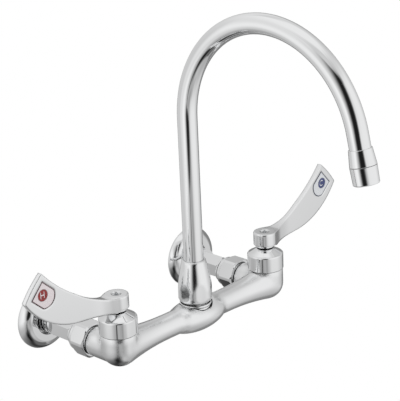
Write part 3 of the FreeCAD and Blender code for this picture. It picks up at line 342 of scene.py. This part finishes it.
def chrome(name, smooth, dull, grain, wave_size, wave_depth, softness=0.0, stretch=(1.0, 1.0, 1.0),
           painted_shade_range=GROOVE_PAINTED_SHADE):
    """Chrome plate whose roughness wanders from smooth to dull, with shallow waves under it and painted
    shade in its grooves.
    """
    material, graph = new_finish(name)
    polish = speckle(graph, grain, stretch=stretch)
    waves = bumps(graph, speckle(graph, wave_size), wave_depth, softness)
    tint = shade(graph, FAINT_TINT, CHROME_TINT, polish)
    # Painted shade: where little is open round a point, its colour goes nearly black.
    openness = graph.add("ShaderNodeAmbientOcclusion", {"samples": PAINTED_SHADE_SAMPLES},
                         {"Distance": PAINTED_SHADE_REACH}, out=1)
    tint_with_painted_shade = graph.add("ShaderNodeMix", {"data_type": "RGBA"},
                       {0: openness.ramp(*painted_shade_range), 6: (*PAINTED_SHADE_TINT, 1.0), 7: tint}, out=2)
    close(graph, Base_Color=tint_with_painted_shade, Metallic=1.0, Roughness=polish.ramp(*POLISH_SPREAD, smooth, dull),
          Normal=waves)
    return material


tube_chrome = chrome("tube_chrome", smooth=0.035, dull=0.06, grain=0.006, wave_size=0.02,
                     wave_depth=0.000004, stretch=(1.0, 1.0, 6.0))
cast_chrome = chrome("cast_chrome", smooth=0.06, dull=0.10, grain=0.010, wave_size=0.012,
                     wave_depth=0.000006, softness=0.010)
turned_chrome = chrome("turned_chrome", smooth=0.04, dull=0.07, grain=0.004, wave_size=0.01,
                       wave_depth=0.000003, softness=0.0005)
faceted_chrome = chrome("faceted_chrome", smooth=0.07, dull=0.12, grain=0.005, wave_size=0.008,
                        wave_depth=0.000008, softness=0.004)
lever_chrome = chrome("lever_chrome", smooth=0.08, dull=0.12, grain=0.012, wave_size=0.012,
                      wave_depth=0.000005, softness=0.0025, painted_shade_range=OPEN_CORNER_PAINTED_SHADE)
print("chrome finishes:", 5)

# %% [markdown]
# The inner pieces show only when the faucet is taken apart, but each has its own finish:
# machined brass, black rubber, ceramic, moulded plastic, pressed fibre and bright steel. The
# stem is made near black as painted shade, so that the gap under each lever looks black. The two
# printed marks, red for hot and blue for cold, are made in the same way. A flat colour would do
# for each, but a faint grain keeps them from looking like cut paper.

# %% Finishes of the inner pieces and the marks
FINE_DETAIL = 4.0
GRAIN_SPREAD = (0.2, 0.8)


def plain(name, low, high, grain, smooth, dull, depth, **sockets):
    """A surface whose colour and roughness wander together, with fine bumps."""
    material, graph = new_finish(name)
    grains = speckle(graph, grain, FINE_DETAIL)
    close(graph, Base_Color=shade(graph, low, high, grains),
          Roughness=grains.ramp(*GRAIN_SPREAD, smooth, dull), Normal=bumps(graph, grains, depth), **sockets)
    return material


brass = plain("brass", low=(0.70, 0.50, 0.22), high=(0.80, 0.62, 0.32),
              grain=0.002, smooth=0.2, dull=0.35, depth=0.000005, Metallic=1.0)
steel = plain("steel", low=(0.74, 0.75, 0.76), high=(0.84, 0.85, 0.86),
              grain=0.001, smooth=0.25, dull=0.35, depth=0.000004, Metallic=1.0)
# Painted shade: the stem is coloured near black so the gap under each lever reads as dark.
painted_shade_stem = plain("painted_shade_stem", low=(0.04, 0.04, 0.045), high=(0.07, 0.07, 0.075),
                   grain=0.001, smooth=0.3, dull=0.4, depth=0.000004, Metallic=1.0)
rubber = plain("rubber", low=(0.012, 0.012, 0.012), high=(0.03, 0.03, 0.03),
               grain=0.0006, smooth=0.55, dull=0.75, depth=0.00002)
fibre = plain("fibre", low=(0.22, 0.06, 0.04), high=(0.36, 0.12, 0.08),
              grain=0.0008, smooth=0.7, dull=0.85, depth=0.00004)
ceramic = plain("ceramic", low=(0.80, 0.79, 0.76), high=(0.88, 0.87, 0.84),
                grain=0.001, smooth=0.15, dull=0.25, depth=0.000002)
white_plastic = plain("white_plastic", low=(0.78, 0.78, 0.76), high=(0.84, 0.84, 0.83),
                      grain=0.002, smooth=0.35, dull=0.45, depth=0.000005)
red_mark = plain("red_mark", low=(0.42, 0.03, 0.03), high=(0.52, 0.06, 0.06),
                 grain=0.001, smooth=0.2, dull=0.3, depth=0.000003)
blue_mark = plain("blue_mark", low=(0.05, 0.07, 0.22), high=(0.08, 0.10, 0.30),
                  grain=0.001, smooth=0.2, dull=0.3, depth=0.000003)
print("finishes of inner pieces and marks:", 9)

# %% [markdown]
# Each index plate is a pearly foil with a thin dark line round its edge: partly a coloured rim,
# partly painted shade of the gap where the plate is let into the blade. The line could be a
# piece of its own, but here it is only colour. Where the normal is averaged over a small
# radius, it leaves the face's own normal near an edge, and the angle between the two draws the
# line at one width all round, whatever the plate's outline.

# %% Pearly plates with a dark rim line
LINE_RADIUS = 0.0017
LINE_SAMPLES = 16
# The cosines of that angle where the line is at its darkest and where the foil is bare.
LINE_TURN = (0.93, 0.995)
FOIL_FADE = 0.96
FOIL_GRAIN = 0.002
FOIL_DEPTH = 0.000003
FOIL_METAL = 0.85
FOIL_ROUGHNESS = (0.25, 0.33)


def lined(name, field, rim_and_shade):
    """A pearly field with a dark line along its edges, part rim colour and part painted shade, half as wide
    as the radius of the averaging.
    """
    material, graph = new_finish(name)
    grains = speckle(graph, FOIL_GRAIN, FINE_DETAIL)
    averaged = graph.add("ShaderNodeBevel", {"samples": LINE_SAMPLES}, {"Radius": LINE_RADIUS})
    own = graph.add("ShaderNodeNewGeometry", out=1)
    agreement = graph.add("ShaderNodeVectorMath", {"operation": "DOT_PRODUCT"}, {0: averaged, 1: own}, out=1)
    foil = shade(graph, tuple(FOIL_FADE * part for part in field), field, grains)
    # Painted shade with a coloured rim: the line's colour near the plate's edges.
    foil_with_dark_rim = graph.add("ShaderNodeMix", {"data_type": "RGBA"},
                        {0: agreement.ramp(*LINE_TURN), 6: (*rim_and_shade, 1.0), 7: foil}, out=2)
    close(graph, Base_Color=foil_with_dark_rim, Metallic=FOIL_METAL,
          Roughness=grains.ramp(*GRAIN_SPREAD, *FOIL_ROUGHNESS), Normal=bumps(graph, grains, FOIL_DEPTH))
    return material


hot_plate = lined("hot_plate", field=(0.98, 0.90, 0.92), rim_and_shade=(0.09, 0.03, 0.035))
cold_plate = lined("cold_plate", field=(0.95, 0.97, 1.0), rim_and_shade=(0.05, 0.07, 0.13))
print("lined plates:", 2)

# %% [markdown]
# Each piece takes its finish by name. A list of pieces for every finish is long but plain, and a
# piece that is in no list stops the script, so none can stay grey.

# %% Give the pieces their finishes
FINISHES = {
    tube_chrome: ["spout_tube"],
    cast_chrome: ["faucet_body"],
    lever_chrome: ["handle"],
    turned_chrome: ["bonnet", "union_nut", "wall_coupling", "wall_flange", "spout_collar",
                    "aerator_adapter", "aerator_housing"],
    faceted_chrome: ["spout_nut"],
    brass: ["cartridge_housing", "spout_sleeve"],
    painted_shade_stem: ["cartridge_stem"],
    steel: ["handle_screw", "aerator_screen"],
    rubber: ["stem_oring", "seat_seal", "lower_spout_oring", "upper_spout_oring", "aerator_washer"],
    fibre: ["union_washer"],
    ceramic: ["fixed_disc", "moving_disc"],
    white_plastic: ["spout_glide_ring", "aerator_insert"],
    hot_plate: ["hot_index_plate"],
    cold_plate: ["cold_index_plate"],
    red_mark: ["hot_index_mark"],
    blue_mark: ["cold_index_mark"],
}
HANDS = ("hot_", "cold_")
finish_of = {name: finish for finish, names in FINISHES.items() for name in names}
for node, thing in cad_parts.items():
    bare = node
    for hand in HANDS:
        bare = bare.removeprefix(hand)
    finish = finish_of.get(node) or finish_of[bare]
    thing.data.materials.clear()
    thing.data.materials.append(finish)
print("pieces with a finish:", len(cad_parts))
